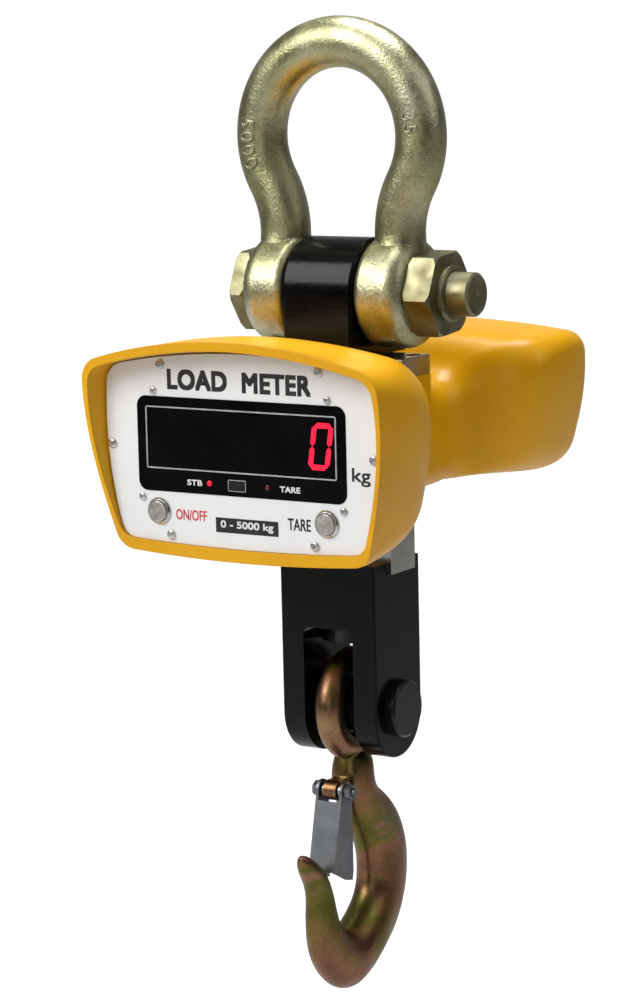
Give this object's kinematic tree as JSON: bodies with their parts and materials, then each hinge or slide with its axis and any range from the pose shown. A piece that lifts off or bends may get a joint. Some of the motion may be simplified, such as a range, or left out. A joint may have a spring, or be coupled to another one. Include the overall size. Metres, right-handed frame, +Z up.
{
  "type": "crane scale",
  "caption": "Hanging electronic crane scale: bow shackle, yellow casting with display head and battery box, black clevis and swinging hook with sprung latch.",
  "frame": {"origin": "point inside the shackle's crown where the crane hook bears, on the bow's middle plane", "axes": "+Z up along the line of load, +X along the shackle bolt towards its nut, -Y the side the display faces"},
  "size_m": [0.234, 0.3118, 0.6804],
  "materials": {
    "galvanised": "galvanised forging, grey with a greenish gold tint",
    "zinc_bolt": "zinc plated, greenish gold tint",
    "black_paint": "gloss black paint",
    "plain_steel": "plain turned steel",
    "plated_steel": "nickel plated, ground",
    "dark_screws": "black oxide",
    "gauge_foil": "foil on film",
    "stainless": "satin stainless",
    "nickel_fitting": "nickel plated brass",
    "lead_sheath": "matt grey sheath",
    "seal_rubber": "matt black rubber",
    "black_pin": "black paint over turned steel",
    "yellow_chromate": "yellow chromate over zinc, iridescent",
    "bright_zinc": "bright zinc, bluish",
    "spring_steel": "zinc plated spring wire",
    "yellow_paint": "golden yellow powder coat, semi gloss",
    "white_paint": "white powder coat, satin",
    "dark_window": "dark tinted acrylic, gloss",
    "frame_line": "light grey line",
    "digit_body": "black moulding",
    "segment_lens": "red diffusing lens",
    "lamp_lens": "red lamp",
    "receiver_lens": "dark filter",
    "circuit_board": "green solder mask",
    "chip_plastic": "black moulding",
    "bezel_steel": "turned stainless ring",
    "button_steel": "satin stainless cap",
    "battery_case": "dark grey moulding"
  },
  "bodies": {
    "shackle": {"shackle_bow": "galvanised", "shackle_bolt": "zinc_bolt", "shackle_nut": "zinc_bolt"},
    "scale": {"suspension_lug": "black_paint", "lug_stud": "plain_steel", "load_cell": "plated_steel", "load_cell_screws": "dark_screws", "strain_gauges": "gauge_foil", "gauge_covers": "stainless", "lead_gland": "nickel_fitting", "load_cell_lead": "lead_sheath", "load_cell_seal": "seal_rubber", "clevis": "black_paint", "clevis_bolt": "plain_steel", "hook_pin": "black_pin", "pin_keeper": "stainless", "keeper_screws": "stainless", "housing": "yellow_paint", "front_panel": "white_paint", "panel_gasket": "seal_rubber", "panel_screws": "stainless", "board_screws": "stainless", "board_posts": "nickel_fitting", "display_window": "dark_window", "window_frame": "frame_line", "digit_modules": "digit_body", "digit_segments": "segment_lens", "status_lamps": "lamp_lens", "remote_receiver": "receiver_lens", "display_board": "circuit_board", "main_board": "circuit_board", "main_board_posts": "nickel_fitting", "board_parts": "chip_plastic", "button_bezels": "bezel_steel", "button_nuts": "nickel_fitting", "button_switches": "chip_plastic", "battery": "battery_case", "battery_strap": "stainless", "strap_screws": "stainless", "battery_lead": "lead_sheath", "rear_cover": "yellow_paint", "rear_gasket": "seal_rubber", "rear_cover_screws": "stainless", "charge_socket": "nickel_fitting", "socket_nut": "nickel_fitting"},
    "hook": {"hook": "yellow_chromate", "latch_bolt": "bright_zinc", "latch_nut": "bright_zinc", "latch_spring": "spring_steel"},
    "latch": {"latch": "bright_zinc"},
    "on_off_button": {"on_off_button": "button_steel"},
    "tare_button": {"tare_button": "button_steel"}
  },
  "joints": [
    {"name": "scale_swing", "type": "hinge", "parent": "shackle", "child": "scale", "pos_m": [0, 0, -0.152], "axis": [1, 0, 0], "range_deg": [-75, 75]},
    {"name": "hook_swing", "type": "hinge", "parent": "scale", "child": "hook", "pos_m": [0, 0, -0.4425], "axis": [1, 0, 0], "range_deg": [-80, 80]},
    {"name": "latch_swing", "type": "hinge", "parent": "hook", "child": "latch", "pos_m": [0, -0.0274, -0.4995], "axis": [1, 0, 0], "range_deg": [0, 26], "stiffness_Nm_per_rad": 0.3, "springref_deg": -34.38},
    {"name": "on_off_press", "type": "slide", "parent": "scale", "child": "on_off_button", "axis": [0, 1, 0], "range_m": [0, 0.0015], "stiffness_N_per_m": 900, "springref_m": -0.001},
    {"name": "tare_press", "type": "slide", "parent": "scale", "child": "tare_button", "axis": [0, 1, 0], "range_m": [0, 0.0015], "stiffness_N_per_m": 900, "springref_m": -0.001}
  ]
}
